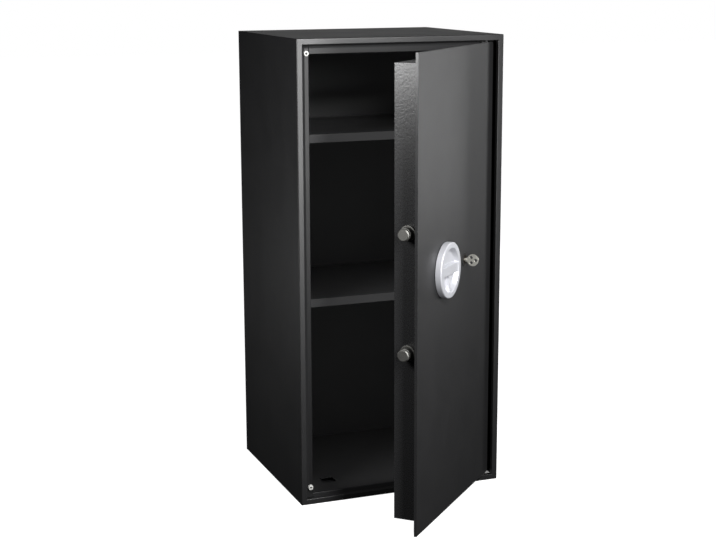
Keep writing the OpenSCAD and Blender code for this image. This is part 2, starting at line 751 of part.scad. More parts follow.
// The bar that joins the bolts: a strip, a web round the spindle and an arm with the lock's stop tab
module bolt_bar() color(dark_steel) on_door() difference() {
    union() {
        slab(bar_x0, bar_x0 + bar_w, bar_y0, bar_y1, bolt_heights[0] - bar_end, bolt_heights[1] + bar_end);
        slab(bar_x0, web_x1, bar_y0, bar_y1, web_z0, web_z1);
        slab(bar_x0, tab_x1, bar_y0, bar_y1, arm_z1 - arm_h, arm_z1);
        slab(tab_x1 - tab_w, tab_x1, bar_y0, bar_y1, arm_z1, tab_z1);
    }
    slab(handle_x - stroke - spindle_d / 2 - slack, handle_x + spindle_d / 2 + slack,
        bar_y0 - 1, bar_y1 + 1, handle_z - spindle_d / 2 - slack, handle_z + spindle_d / 2 + slack);
    slab(handle_x - stroke / 2 - drive_pin_d / 2 - slack, handle_x - stroke / 2 + drive_pin_d / 2 + slack,
        bar_y0 - 1, bar_y1 + 1, handle_z + stroke / 2 - drive_pin_d / 2 - slack,
        handle_z + orbit_r + drive_pin_d / 2 + slack);
    for (x = bar_screw_x, z = bolt_heights) rod_y(bar_screw_d, x, z, bar_y0 - 1, bar_y1 + 1);
}

module bolt_bar_screws() color(steel) on_door() for (x = bar_screw_x, z = bolt_heights) {
    rod_y(bar_screw_d, x, z, bar_y1 - bar_screw_l, bar_y1);
    rod_y(bar_screw_head_d, x, z, bar_y1, bar_y1 + bar_screw_head_t);
}

// Handle

// The round handle: a ring with a dish, a grip across it and a rib below the grip
module handle_wheel() color(silver) on_door() difference() {
    ring_r = handle_d / 2;
    union() {
        translate([handle_x, 0, handle_z]) rotate([90, 0, 0]) rotate_extrude() polygon([
            [0, handle_gap], [ring_r - rim_chamfer, handle_gap], [ring_r, handle_gap + rim_chamfer],
            [ring_r, -handle_y0 - rim_chamfer], [ring_r - rim_chamfer, -handle_y0],
            [dish_d / 2 + rim_chamfer / 2, -handle_y0], [dish_d / 2, -handle_y0 - rim_chamfer / 2],
            [dish_floor_d / 2, -dish_y], [0, -dish_y]]);
        intersection() {
            rod_y(dish_d + 1, handle_x, handle_z, grip_y0, dish_y + 1);
            union() {
                slab(handle_x - dish_d, handle_x + dish_d, grip_y0, dish_y + 1,
                    handle_z - grip_h / 2, handle_z + grip_h / 2);
                slab(handle_x - rib_w / 2, handle_x + rib_w / 2, grip_y0, dish_y + 1,
                    handle_z - dish_d, handle_z);
            }
        }
    }
    rod_y(spindle_d, handle_x, handle_z, spindle_y0, 0);
}

module handle_spindle() color(steel) on_door() difference() {
    rod_y(spindle_d, handle_x, handle_z, spindle_y0, spindle_y1);
    difference() {
        rod_y(spindle_d + 2, handle_x, handle_z, clip_y0, clip_y0 + clip_t);
        rod_y(clip_groove_d, handle_x, handle_z, clip_y0 - 1, clip_y0 + clip_t + 1);
    }
}

// The disc on the spindle's end; its pin drives the bolt bar
module drive_disc() color(steel) on_door() difference() {
    union() {
        rod_y(disc_d, handle_x, handle_z, disc_y0, disc_y0 + disc_t);
        rod_y(drive_pin_d, handle_x - stroke / 2, handle_z + stroke / 2, bar_y0 - 0.4, disc_y0 + 1);
    }
    rod_y(spindle_d, handle_x, handle_z, disc_y0 - 1, disc_y0 + disc_t + 1);
}

module spindle_clip() color(dark_steel) on_door() difference() {
    rod_y(spindle_d + 6, handle_x, handle_z, clip_y0, clip_y0 + clip_t);
    rod_y(clip_groove_d, handle_x, handle_z, clip_y0 - 1, clip_y0 + clip_t + 1);
    slab(handle_x - clip_groove_d / 2, handle_x + clip_groove_d / 2, clip_y0 - 1, clip_y0 + clip_t + 1,
        handle_z - spindle_d, handle_z);
}

// Lock

// The plug: a turning barrel with the keyway, and a cam whose pin drives the tongue
module lock_plug() color(nickel) on_door() difference() {
    union() {
        rod_y(plug_d, key_x, key_z, -plug_face, cam_y0);
        rod_y(plug_flange_d, key_x, key_z, hard_y1 + case_t + 0.2, hard_y1 + case_t + 0.2 + plug_flange_t);
        rod_y(cam_d, key_x, key_z, cam_y0, cam_y0 + cam_t);
        rod_y(cam_pin_d, key_x + tongue_throw / 2, key_z + tongue_throw / 2, cam_y0 + 1, tongue_y1 - 0.4);
    }
    rod_y(key_shank_d + 2 * key_slot_gap, key_x, key_z, -plug_face - 1, cam_y0);
    slab(key_x - blade_t / 2 - key_slot_gap, key_x + blade_t / 2 + key_slot_gap, -plug_face - 1, cam_y0,
        key_z - key_bit_h / 2 - key_slot_gap, key_z + key_bit_h / 2 + key_slot_gap);
}

// The tongue that drops beside the bolt bar's stop tab when the key is turned
module lock_tongue() color(steel) on_door() difference() {
    union() {
        slab(tongue_x0, tongue_x0 + tongue_w, tongue_y0, tongue_y1, case_z0, key_z);
        slab(tongue_x0, tongue_x0 + tongue_head_w, tongue_y0, tongue_y1, key_z - tongue_head_down,
            key_z + tongue_head_up);
    }
    slab(key_x + tongue_throw / 2 - cam_pin_d / 2 - slack, key_x + cam_orbit_r + cam_pin_d / 2 + slack,
        tongue_y0 - 1, tongue_y1 + 1, tongue_rest_z - cam_pin_d / 2 - slack,
        tongue_rest_z + cam_pin_d / 2 + slack);
}

// The key: a round pierced bow, a shank and a double bit, standing upright in the plug
module door_key() color(nickel) on_door() {
    bow_y = -key_neck - bow_d / 2;
    rod_y(key_shank_d, key_x, key_z, -key_neck, key_tip_y);
    slab(key_x - blade_t / 2, key_x + blade_t / 2, key_tip_y - key_bit_l, key_tip_y,
        key_z - key_bit_h / 2, key_z + key_bit_h / 2);
    difference() {
        union() {
            rod_x(bow_d, bow_y, key_z, key_x - blade_t / 2, key_x + blade_t / 2);
            slab(key_x - blade_t / 2, key_x + blade_t / 2, -key_neck - 2, -key_neck + 3,
                key_z - 3.5, key_z + 3.5);
        }
        for (turn = [0:2]) translate([0, bow_y, key_z]) rotate([120 * turn + 180, 0, 0])
            rod_x(bow_d * 0.27, bow_d * 0.26, 0, key_x - blade_t, key_x + blade_t);
    }
}

side_panel_left();
side_panel_right();
roof_panel();
floor_panel();
back_panel();
stile_left();
stile_right();
rail_top();
rail_bottom();
stop_left();
stop_top();
stop_bottom();
jamb_strip();
hinge_plate_top();
hinge_plate_bottom();
hinge_pin_top();
hinge_pin_bottom();
hinge_washer();
inner_floor();
floor_bearers();
upright_front_left();
upright_front_right();
upright_rear_left();
upright_rear_right();
shelf_upper();
shelf_lower();
shelf_clips();
door_buffers();
door_plate();
box_side_free();
box_side_hinge();
box_wall_top();
box_wall_bottom();
box_cover();
cover_screws();
hinge_block_top();
hinge_block_bottom();
fixed_dogs();
bolt_collar_upper();
bolt_collar_lower();
bolt_guide_upper();
bolt_guide_lower();
spindle_bush();
hard_plate();
lock_case();
lock_cover();
lock_screws();
key_rose();
bolt_upper();
bolt_lower();
bolt_bar();
bolt_bar_screws();
handle_wheel();
handle_spindle();
drive_disc();
spindle_clip();
lock_plug();
lock_tongue();
door_key();
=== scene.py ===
# %% [markdown]
# # An armoured document safe
# This lesson dresses a packed CAD model of an upright steel safe, door half open, and lights it in
# a white studio. The CAD frame gives every piece its place. Here each visible piece gets its folds,
# its turned edges and its paint. Sizes are in millimetres, in front coordinates: x to the right,
# y into the cabinet from its front face, z up.

# %% Load the frame
import json
import math

import bmesh
import bpy
import numpy as np
from mathutils import Matrix, Vector

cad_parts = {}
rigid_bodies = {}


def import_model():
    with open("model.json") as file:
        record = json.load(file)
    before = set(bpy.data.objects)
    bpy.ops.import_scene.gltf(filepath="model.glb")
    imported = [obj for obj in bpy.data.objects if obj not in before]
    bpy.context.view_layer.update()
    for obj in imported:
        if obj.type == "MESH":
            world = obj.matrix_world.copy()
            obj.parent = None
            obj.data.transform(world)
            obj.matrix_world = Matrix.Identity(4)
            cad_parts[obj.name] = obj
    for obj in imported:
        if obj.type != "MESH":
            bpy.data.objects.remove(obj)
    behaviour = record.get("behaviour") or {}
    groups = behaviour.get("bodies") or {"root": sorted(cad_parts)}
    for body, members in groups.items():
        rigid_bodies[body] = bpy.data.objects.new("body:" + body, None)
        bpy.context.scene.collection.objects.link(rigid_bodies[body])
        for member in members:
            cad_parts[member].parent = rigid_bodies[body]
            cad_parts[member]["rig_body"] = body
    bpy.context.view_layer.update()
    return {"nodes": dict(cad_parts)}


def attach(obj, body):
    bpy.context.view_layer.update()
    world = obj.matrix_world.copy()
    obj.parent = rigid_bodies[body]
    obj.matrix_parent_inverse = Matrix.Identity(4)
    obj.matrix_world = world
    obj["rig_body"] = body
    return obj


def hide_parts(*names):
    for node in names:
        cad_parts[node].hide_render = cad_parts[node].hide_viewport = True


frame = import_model()
scene = bpy.context.scene
print("nodes:", len(frame["nodes"]))

# %% [markdown]
# ## Two places to stand
# The cabinet's front face is half its depth in front of the frame's origin. The door is drawn shut
# and then turned about its pins, so that a door piece can be written with plain upright numbers and
# still land on the open door.

# %% Placing points on the cabinet and on the door
BODY_W, BODY_D, BODY_H = 410.0, 360.0, 875.0
PIVOT = np.array([172.5, 7.5])
DOOR_ANGLE = math.radians(45)


def on_cabinet(points):
    """Front coordinates in mm to the frame: y moves by half the depth, then mm become metres."""
    return (np.asarray(points, float) - (0.0, BODY_D / 2, 0.0)) / 1000


def on_door(points):
    """The shut door's mm to the frame: (x, y) turns about the pivot, then as on the cabinet."""
    p = np.array(points, float)
    c, s = math.cos(DOOR_ANGLE), math.sin(DOOR_ANGLE)
    flat = p[..., :2] - PIVOT
    p[..., :2] = flat @ np.array([[c, s], [-s, c]]) + PIVOT
    return on_cabinet(p)


ALONG_DOOR = (on_door((1.0, 0.0, 0.0)) - on_door((0.0, 0.0, 0.0))) * 1000
print("from the free side to the hinges:", ALONG_DOOR.round(3))

# %% [markdown]
# ## The camera
# The view was solved from the cabinet's edges in the reference: a long lens, a little above the
# safe, looking from its left. A Track To constraint could aim the camera, but it can't hold the
# solved roll, so the camera's three axes are built from its yaw, its pitch and a trace of roll.

# %% Build the camera
YAW, PITCH, ROLL = (math.radians(a) for a in (21.045, 11.73, -0.216))
EYE = on_cabinet((-1050.5, -2497.6, 1002.9))
FOCAL_PIXELS, IMAGE_WIDTH, SENSOR_MM = 1469.6, 716, 36.0
level = np.array([math.cos(YAW), -math.sin(YAW), 0.0])
ahead = np.array([math.sin(YAW), math.cos(YAW), 0.0])
forward = ahead * math.cos(PITCH) - (0.0, 0.0, math.sin(PITCH))
upward = np.cross(level, forward)
right = math.cos(ROLL) * level + math.sin(ROLL) * upward
up = -math.sin(ROLL) * level + math.cos(ROLL) * upward
camera_data = bpy.data.cameras.new("camera")
camera_data.sensor_width = SENSOR_MM
camera_data.lens = FOCAL_PIXELS * SENSOR_MM / IMAGE_WIDTH
camera_data.clip_end = 60.0
camera = bpy.data.objects.new("camera", camera_data)
pose = Matrix.Identity(4)
for row in range(3):
    for column, axis in enumerate((right, up, -forward, EYE)):
        pose[row][column] = float(axis[row])
camera.matrix_world = pose
scene.collection.objects.link(camera)
scene.camera = camera
print("lens mm:", round(camera_data.lens, 2))

# %% [markdown]
# ## Studio light
# Black paint shows its shape only by what it mirrors. A bright world would wash it grey, so the
# light comes from a few soft panels round the safe, and the rest of the room is nearly dark to
# reflections. One faint panel stands in the opening and lights the shelves. Nothing mirrors it.

# %% Soft panels
LIGHTS = [
    # name, azimuth from the right towards the back in degrees, then metres: distance, height,
    # and the panel's own width and tallness, and last its watts
    ("front_high", 276, 1.4, 1.4, 0.3, 0.35, 25.9),
    ("front_middle", 276, 1.4, 0.95, 0.3, 0.35, 8.0),
    ("front_low", 276, 1.4, 0.6, 0.3, 0.35, 6.4),
    ("front_floor", 276, 1.4, 0.25, 0.3, 0.35, 1.4),
    ("left_near", 214, 1.15, 0.95, 0.45, 0.35, 11.3),
    ("left_behind", 150, 1.6, 0.2, 0.8, 0.3, 2.6),
    ("right", 0, 2.6, 1.1, 0.9, 0.7, 9.2),
    ("right_low", 0, 2.6, 0.4, 0.9, 0.7, 4.5),
    ("back_right", 40, 2.6, 0.4, 0.9, 0.7, 13.1),
    ("over_the_top", 69, 2.6, 1.4, 1.8, 0.5, 1.2),
]
TARGET = Vector((0.0, -0.1, 0.55))


def soft_panel(name, wide, tall, watts):
    """A rectangular lamp, in metres and watts, that lights the safe but isn't seen itself."""
    panel = bpy.data.lights.new(name, "AREA")
    panel.shape = "RECTANGLE"
    panel.size, panel.size_y, panel.energy = wide, tall, watts
    lamp = bpy.data.objects.new(name, panel)
    lamp.visible_camera = False
    scene.collection.objects.link(lamp)
    return lamp


for name, azimuth, distance, height, wide, tall, watts in LIGHTS:
    lamp = soft_panel(name, wide, tall, watts)
    angle = math.radians(azimuth)
    lamp.location = (distance * math.cos(angle), distance * math.sin(angle), height)
    lamp.rotation_euler = (TARGET - lamp.location).to_track_quat("-Z", "Y").to_euler()
fill = soft_panel("inside", 0.36, 0.8, 1.6)
fill.location = on_cabinet((0.0, 30.0, 437.0))
fill.rotation_euler = (math.pi / 2, 0.0, 0.0)
fill.visible_glossy = False
print("panels:", len(LIGHTS) + 1)

# %% [markdown]
# ## Materials as expressions
# A shader is a small sum. Nodes could be added and linked one by one, but then nobody can read the
# sum any more. So the first class wraps one socket, and `1 - mask * 0.3` adds the Math nodes by
# itself. The second holds a node tree, and one method adds any node to it from its type, its
# settings and its sockets' values.

# %% Wires and trees


class Wire:
    """One output socket. Arithmetic between wires and numbers adds Math nodes to its tree."""

    def __init__(self, tree, socket):
        self.tree, self.socket = tree, socket

    def calc(self, operation, *others):
        return self.tree.node("ShaderNodeMath", {"operation": operation}, self, *others)

    def __add__(self, other):
        return self.calc("ADD", other)

    def __sub__(self, other):
        return self.calc("SUBTRACT", other)

    def __mul__(self, other):
        return self.calc("MULTIPLY", other)

    def __radd__(self, other):
        return self + other

    def __rsub__(self, other):
        return self.tree.node("ShaderNodeMath", {"operation": "SUBTRACT"}, other, self)

    def __rmul__(self, other):
        return self * other


class Tree:
    """A node tree to which node() adds nodes."""

    def __init__(self, owner):
        owner.use_nodes = True
        self.nodes, self.links = owner.node_tree.nodes, owner.node_tree.links

    def feed(self, socket, value):
        """Links a wire to the socket, or sets the socket to a plain value."""
        if isinstance(value, Wire):
            self.links.new(value.socket, socket)
        else:
            socket.default_value = value

    def node(self, kind, settings, *values, out=0, **named):
        """Adds one node: its settings, then its sockets in order or by name. Returns a wire."""
        made = self.nodes.new(kind)
        for key, value in settings.items():
            setattr(made, key, value)
        for index, value in enumerate(values):
            self.feed(made.inputs[index], value)
        for key, value in named.items():
            self.feed(made.inputs[key.replace("_", " ")], value)
        return Wire(self, made.outputs[out])


print("wires can add, subtract and multiply")

# %% [markdown]
# ## A finish
# Every finish on the safe needs the same few things: its place on the surface, noise, a bump, a
# blend of two colours. Each could be written out for each material. A class of its own says them
# once, and measures them in millimetres of the real object.

# %% A material with its main shader


class Finish(Tree):
    """A material whose main shader's sockets are set by paint()."""

    def __init__(self, name):
        self.material = bpy.data.materials.new(name)
        super().__init__(self.material)
        self.shader = self.nodes["Principled BSDF"]
        self.place = self.node("ShaderNodeTexCoord", {}, out="Object")

    def vector(self, operation, *values, out="Vector", **named):
        """One Vector Math node."""
        settings = {"operation": operation}
        return self.node("ShaderNodeVectorMath", settings, *values, out=out, **named)

    def noise(self, size_mm, detail=2.0, rough=0.5, out="Fac"):
        """Noise whose lumps are about size_mm across, read in Object coordinates."""
        return self.node("ShaderNodeTexNoise", {}, Vector=self.place, Scale=1000 / size_mm,
                         Detail=detail, Roughness=rough, out=out)

    def bump(self, height, depth_mm):
        """A bump of that depth where height goes from 0 to 1."""
        return self.node("ShaderNodeBump", {}, Strength=1.0, Distance=depth_mm / 1000,
                         Height=height, out="Normal")

    def blend(self, mask, low, high):
        """A colour that goes from low to high as mask goes from 0 to 1."""
        mixed = self.node("ShaderNodeMix", {"data_type": "RGBA", "clamp_factor": True}, mask, out=2)
        ends = mixed.socket.node.inputs
        ends[6].default_value, ends[7].default_value = (*low, 1.0), (*high, 1.0)
        return mixed

    def axis_distance(self, point, axis):
        """How far a point of the surface is from the line through point along axis, in metres."""
        away = self.vector("SUBTRACT", self.place, tuple(point))
        across = self.vector("CROSS_PRODUCT", away, tuple(axis))
        return self.vector("LENGTH", across, out="Value")

    def paint(self, **sockets):
        """Links or sets the main shader's sockets by name, and returns the material."""
        for key, value in sockets.items():
            whole = (*value, 1.0) if isinstance(value, tuple) else value
            self.feed(self.shader.inputs[key.replace("_", " ")], whole)
        return self.material


print("a finish can:", [name for name in vars(Finish) if not name.startswith("_")])

# %% [markdown]
# ## Paint on sheet steel
# The cabinet and the door's front have a satin black powder coat: a fine orange peel, slightly
# uneven in gloss. The door's free edge drew a thicker, glossier coat. The stops are duller, and
# quite matt in the narrow groove where they meet the rim, and the shelves are matt all over.
# A picture of paint would need unwrapped pieces and would repeat. Noise in real millimetres does
# neither: a fine one feeds the bump, and a broad one shifts colour and roughness a little.

# %% Powder coats
DRIFT_MM, SPECK_MM = 60.0, 0.9
EDGE_GLOSS, NOOK_MATT = 0.14, 0.5


def powder_coat(name, grey, peel_mm, depth_mm, roughness, shine=0.5, edge=None, nook=0.0):
    """Black paint with lumps of peel_mm that stand depth_mm high. Shine scales what it mirrors.
    Edge is a direction and a distance along it in metres, beyond which the coat is glossier.
    Nearer than nook mm to the cabinet's outside, the coat is dusty and matt."""
    coat = Finish(name)
    drift = coat.noise(DRIFT_MM, detail=1.0)
    peel = coat.noise(peel_mm, rough=0.45)
    speck = coat.noise(SPECK_MM, detail=1.0)
    low, high = (tuple(g * k for g in grey) for k in (0.88, 1.12))
    rough = roughness + (drift - 0.5) * 0.08 + (speck - 0.5) * 0.05
    if edge:
        direction, start = edge
        along = coat.vector("DOT_PRODUCT", coat.place, tuple(direction), out="Value")
        rough = rough - along.calc("GREATER_THAN", start) * EDGE_GLOSS
    if nook:
        across = coat.node("ShaderNodeSeparateXYZ", {}, coat.place, out="X").calc("ABSOLUTE")
        height = coat.node("ShaderNodeSeparateXYZ", {}, coat.place, out="Z")
        # the height's distance from the middle, made to meet the same limit as the one across
        above = (height - BODY_H / 2000).calc("ABSOLUTE") - (BODY_H - BODY_W) / 2000
        outer = across.calc("MAXIMUM", above)
        rough = rough + outer.calc("GREATER_THAN", (BODY_W / 2 - nook) / 1000) * NOOK_MATT
    return coat.paint(Base_Color=coat.blend(drift * 0.6 + speck * 0.4, low, high), Roughness=rough,
                      Specular_IOR_Level=shine,
                      Normal=coat.bump(peel * 0.8 + speck * 0.2, depth_mm))


FREE_SIDE = -ALONG_DOOR
FREE_EDGE = float(on_door((-190.3, 0.0, 0.0)) @ FREE_SIDE)
body_paint = powder_coat("satin_black_body", (0.012, 0.012, 0.0125), 1.6, 0.02, 0.38)
door_paint = powder_coat("satin_black_door", (0.014, 0.014, 0.0145), 2.2, 0.012, 0.42,
                         edge=(FREE_SIDE, FREE_EDGE))
stop_paint = powder_coat("satin_black_stops", (0.010, 0.010, 0.0105), 1.6, 0.02, 0.40, shine=0.26,
                         nook=18.0)
# The paint inside is lighter than the body's black: painted light that lifts the dim interior.
inner_paint = powder_coat("matt_black_inside", (0.06, 0.06, 0.061), 1.6, 0.03, 0.5)
shelf_paint = powder_coat("matt_black_shelves", (0.02, 0.02, 0.0205), 1.6, 0.03, 0.5, shine=0.25)
powder_coats = (body_paint, door_paint, stop_paint, inner_paint, shelf_paint)
print("powder coats:", [paint.name for paint in powder_coats])

# %% [markdown]
# ## Hammered paint
# The box behind the door has a coarser coat that flowed into pebbles, and these catch the light.
# Plain noise gives waves rather than pebbles. A smooth cell pattern gives round ones, and a soft
# noise bends the cells so that they differ in size and shape.

# %% The hammered coat


def hammered_coat(name, grey, pebble_mm, depth_mm, roughness):
    """Hammered paint: the height is 1 less 1.3 times the distance from the cell's middle, in
    cells, plus a quarter of a fine noise."""
    coat = Finish(name)
    warp = coat.noise(pebble_mm * 2.2, out="Color")
    moved = coat.vector("SCALE", warp, Scale=pebble_mm * 0.9 / 1000)
    spot = coat.vector("ADD", coat.place, moved)
    cells = coat.node("ShaderNodeTexVoronoi", {"feature": "SMOOTH_F1"}, Vector=spot,
                      Scale=1000 / pebble_mm, out="Distance")
    fine = coat.noise(pebble_mm * 0.45)
    height = 1 - cells * 1.3 + fine * 0.25
    return coat.paint(Base_Color=coat.blend(height, grey, tuple(g * 1.25 for g in grey)),
                      Roughness=roughness + (fine - 0.5) * 0.1, Specular_IOR_Level=0.55,
                      Normal=coat.bump(height, depth_mm))


box_paint = hammered_coat("hammered_black_box", (0.014, 0.014, 0.0145), 3.4, 0.09, 0.275)
print("hammered paint:", box_paint.name)

# %% [markdown]
# ## Bare metals, nylon and lacquer
# Turned bolts keep the fine rings of the lathe. Stretched noise could stand for them, but it would
# cross the bolt's end in stripes, so their bump is a wave of the distance from the bolt's axis.
# Nickel and zinc are smoother. The handle is a die casting under silver lacquer, soft and bright.

# %% Kinds of metal and skin


def plain_metal(name, colour, roughness, tarnish=0.25):
    """Bare or plated metal: broad tarnish in colour and roughness, and a fine grain."""
    metal = Finish(name)
    cloud = metal.noise(14.0, detail=3.0, rough=0.6)
    grain = metal.noise(0.8)
    dull = tuple(c * (1 - tarnish) for c in colour)
    return metal.paint(Base_Color=metal.blend(cloud * 0.7 + grain * 0.3, dull, colour),
                       Metallic=1.0,
                       Roughness=roughness + (cloud - 0.5) * 0.16 + (grain - 0.5) * 0.08,
                       Normal=metal.bump(grain, depth_mm=0.006))


RING_MM, BROAD_RING_MM = 0.7, 0.7 * 4.6


def turned_metal(name, colour, roughness, point, axis):
    """Lathe-turned metal: rings are the sine of 2 pi times the distance from the axis through
    point over the ring's width, fine and broad, and a cloud changes them slowly."""
    metal = Finish(name)
    far = metal.axis_distance(point, axis)
    rings = (far * (2000 * math.pi / RING_MM)).calc("SINE")
    broad = (far * (2000 * math.pi / BROAD_RING_MM)).calc("SINE")
    cloud = metal.noise(6.0)
    fine = metal.noise(0.5, detail=1.0)
    dull = tuple(c * 0.6 for c in colour)
    mask = cloud * 0.5 + rings * 0.1 + broad * 0.2 + 0.25
    return metal.paint(Base_Color=metal.blend(mask, dull, colour), Metallic=1.0,
                       Roughness=roughness + rings * 0.03 + (cloud - 0.5) * 0.1,
                       Normal=metal.bump(rings * 0.4 + fine * 0.2, depth_mm=0.004))


def coated(name, colour, roughness, metallic=0.0, shade=0.9, grain_mm=1.2, depth_mm=0.008):
    """Lacquer, plating or nylon: one colour with a faint cloud and a fine skin."""
    skin = Finish(name)
    cloud = skin.noise(9.0)
    grain = skin.noise(grain_mm)
    dull = tuple(c * shade for c in colour)
    return skin.paint(Base_Color=skin.blend(cloud, dull, colour), Metallic=metallic,
                      Roughness=roughness + (grain - 0.5) * 0.06,
                      Normal=skin.bump(grain, depth_mm))


print("rings of the lathe, mm apart:", RING_MM, "and", round(BROAD_RING_MM, 2))

# %% Metals and plastics
BOLT_Y, BOLT_Z = 27.0, {"upper": 553.0, "lower": 341.0}
BOLT_GREY = (0.17, 0.168, 0.158)
bolt_steel = {end: turned_metal("turned_steel_" + end, BOLT_GREY, 0.54, on_door((0, BOLT_Y, z)),
                                ALONG_DOOR) for end, z in BOLT_Z.items()}
zinc = plain_metal("zinc_plate", (0.62, 0.62, 0.60), 0.34)
rolled_steel = plain_metal("rolled_steel", (0.34, 0.34, 0.35), 0.45, tarnish=0.4)
bronze = plain_metal("bearing_bronze", (0.62, 0.42, 0.20), 0.35)
dark_bronze = plain_metal("blackened_bronze", (0.06, 0.05, 0.04), 0.4)
black_steel = plain_metal("blackened_steel", (0.04, 0.04, 0.04), 0.45)
nickel = coated("satin_nickel", (0.56, 0.55, 0.50), 0.32, metallic=0.7, grain_mm=0.8,
                depth_mm=0.003)
bright_zinc = coated("bright_zinc", (0.85, 0.85, 0.84), 0.35, metallic=0.6, grain_mm=0.6,
                     depth_mm=0.003)
silver = coated("silver_lacquer", (0.48, 0.485, 0.515), 0.36, metallic=0.3, shade=0.96,
                grain_mm=0.5, depth_mm=0.002)
nylon = coated("white_nylon", (0.52, 0.52, 0.50), 0.45)
black_gloss = coated("black_moulding", (0.015, 0.015, 0.015), 0.3)
print("materials so far:", len(bpy.data.materials))

# %% [markdown]
# ## The floor and the white room
# The floor is a pale sheet that glows, so it stays nearly white. Its glow is a little dimmer near
# the safe, as a painted shadow, and real light adds only a trace of shadow. The camera alone sees
# it and the white room. A white floor in the reflections or in the bounced light would turn the
# black paint grey.

# %% The floor
floor_finish = Finish("pale_floor")
FLOOR_HALF, FLOOR_DROP = 14.0, 0.0006
# The glow is dimmer within a short way of the safe: a painted shadow under it.
middle_distance = floor_finish.axis_distance((0.0, 0.0, 0.0), (0.0, 0.0, 1.0))
glow_with_painted_shadow = floor_finish.blend((middle_distance - 0.35) * 1.6, (0.93,) * 3, (1.02,) * 3)
floor_finish.paint(Base_Color=(0.5, 0.5, 0.5), Roughness=0.9, Emission_Color=glow_with_painted_shadow,
                   Emission_Strength=1.0, Specular_IOR_Level=0.0)
ticks = np.linspace(-FLOOR_HALF, FLOOR_HALF, 3)
gx, gy = np.meshgrid(ticks, ticks, indexing="ij")
corners = np.stack([gx, gy, np.full_like(gx, -FLOOR_DROP)], axis=-1).reshape(-1, 3)
starts = [i * 3 + j for i in range(2) for j in range(2)]
floor_mesh = bpy.data.meshes.new("floor")
floor_mesh.from_pydata(corners.tolist(), [], [(k, k + 3, k + 4, k + 1) for k in starts])
floor_mesh.materials.append(floor_finish.material)
floor = bpy.data.objects.new("floor", floor_mesh)
floor.visible_glossy = False
floor.visible_diffuse = False
scene.collection.objects.link(floor)
print("floor, m across:", FLOOR_HALF * 2)

# %% The room
world = bpy.data.worlds.new("studio")
room = Tree(world)
scene.world = world
camera_ray = room.node("ShaderNodeLightPath", {}, out="Is Camera Ray")
dim = room.node("ShaderNodeBackground", {}, (0.9, 0.95, 1.0, 1.0), 0.008)
white = room.node("ShaderNodeBackground", {}, (1.0, 1.0, 1.0, 1.0), 1.0)
walls = room.node("ShaderNodeMixShader", {}, camera_ray, dim, white)
room.feed(room.nodes["World Output"].inputs["Surface"], walls)
scene.view_settings.view_transform = "Standard"
print("view transform:", scene.view_settings.view_transform)

# %% [markdown]
# ## From numbers to a mesh
# The pieces could be pulled into shape by hand, but a formula keeps their sizes exact. So every new
# piece is a grid of points worked out at once with numpy, and its neighbours are joined into
# four-sided faces. The first helper finishes any mesh: it welds the seams and poles, turns the
# faces outwards and names the body that the piece rides on.

# %% Finish a mesh
SHARP_DEGREES = 40.0


def finish_mesh(name, mesh, material, body, stands_for=(), slot=None, sharp=SHARP_DEGREES,
                bevel=0.0):
    """Smooths a mesh, keeps edges over sharp degrees crisp, rounds edges by bevel mm, and gives
    the mesh its material, its body and the CAD nodes it stands for."""
    work = bmesh.new()
    work.from_mesh(mesh)
    bmesh.ops.remove_doubles(work, verts=work.verts, dist=2e-6)
    bmesh.ops.dissolve_degenerate(work, edges=work.edges, dist=2e-6)
    bmesh.ops.recalc_face_normals(work, faces=work.faces)
    work.to_mesh(mesh)
    work.free()
    mesh.polygons.foreach_set("use_smooth", np.ones(len(mesh.polygons), bool))
    mesh.set_sharp_from_angle(angle=math.radians(sharp))
    mesh.materials.clear()
    mesh.materials.append(material)
    piece = bpy.data.objects.new(name, mesh)
    scene.collection.objects.link(piece)
    if bevel:
        soft = piece.modifiers.new("edges", "BEVEL")
        soft.width, soft.segments, soft.angle_limit = bevel / 1000, 2, math.radians(35)
        soft.limit_method, soft.use_clamp_overlap = "ANGLE", True
        soft.harden_normals = True
    even = piece.modifiers.new("flats", "WEIGHTED_NORMAL")
    even.keep_sharp, even.weight = True, 60
    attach(piece, body)
    if stands_for:
        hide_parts(*stands_for)
    return piece


print("edges stay crisp over, degrees:", SHARP_DEGREES)

# %% Grids to meshes


def grid_faces(rows, columns, close_rows=False, close_columns=False):
    """The four corner numbers of each face of a grid; closed ways wrap round to the start."""
    index = np.arange(rows * columns).reshape(rows, columns)
    if close_rows:
        index = np.concatenate([index, index[:1]])
    if close_columns:
        index = np.concatenate([index, index[:, :1]], axis=1)
    around = [index[:-1, :-1], index[1:, :-1], index[1:, 1:], index[:-1, 1:]]
    return np.stack(around, axis=-1).reshape(-1, 4)


def from_grid(name, grid, material, body, close_rows=False, close_columns=False, **more):
    """A surface from a (rows, columns, 3) grid in the frame's metres."""
    quads = grid_faces(*grid.shape[:2], close_rows, close_columns)
    mesh = bpy.data.meshes.new(name)
    mesh.vertices.add(grid.shape[0] * grid.shape[1])
    mesh.vertices.foreach_set("co", grid.astype(np.float32).ravel())
    mesh.loops.add(quads.size)
    mesh.loops.foreach_set("vertex_index", quads.astype(np.int32).ravel())
    mesh.polygons.add(len(quads))
    mesh.polygons.foreach_set("loop_start", np.arange(len(quads), dtype=np.int32) * 4)
    mesh.update(calc_edges=True)
    return finish_mesh(name, mesh, material, body, **more)


print("faces of 3 by 3 points, open and closed:", len(grid_faces(3, 3)),
      len(grid_faces(3, 3, True, True)))

# %% [markdown]
# ## Rounded corners
# No corner on the real safe is a knife edge. A Bevel modifier gives all its edges one width, while
# folds and turned edges differ. So an outline is typed with sharp corners, and this helper puts an
# arc in each, with its own radius.

# %% Outlines with arcs in their corners


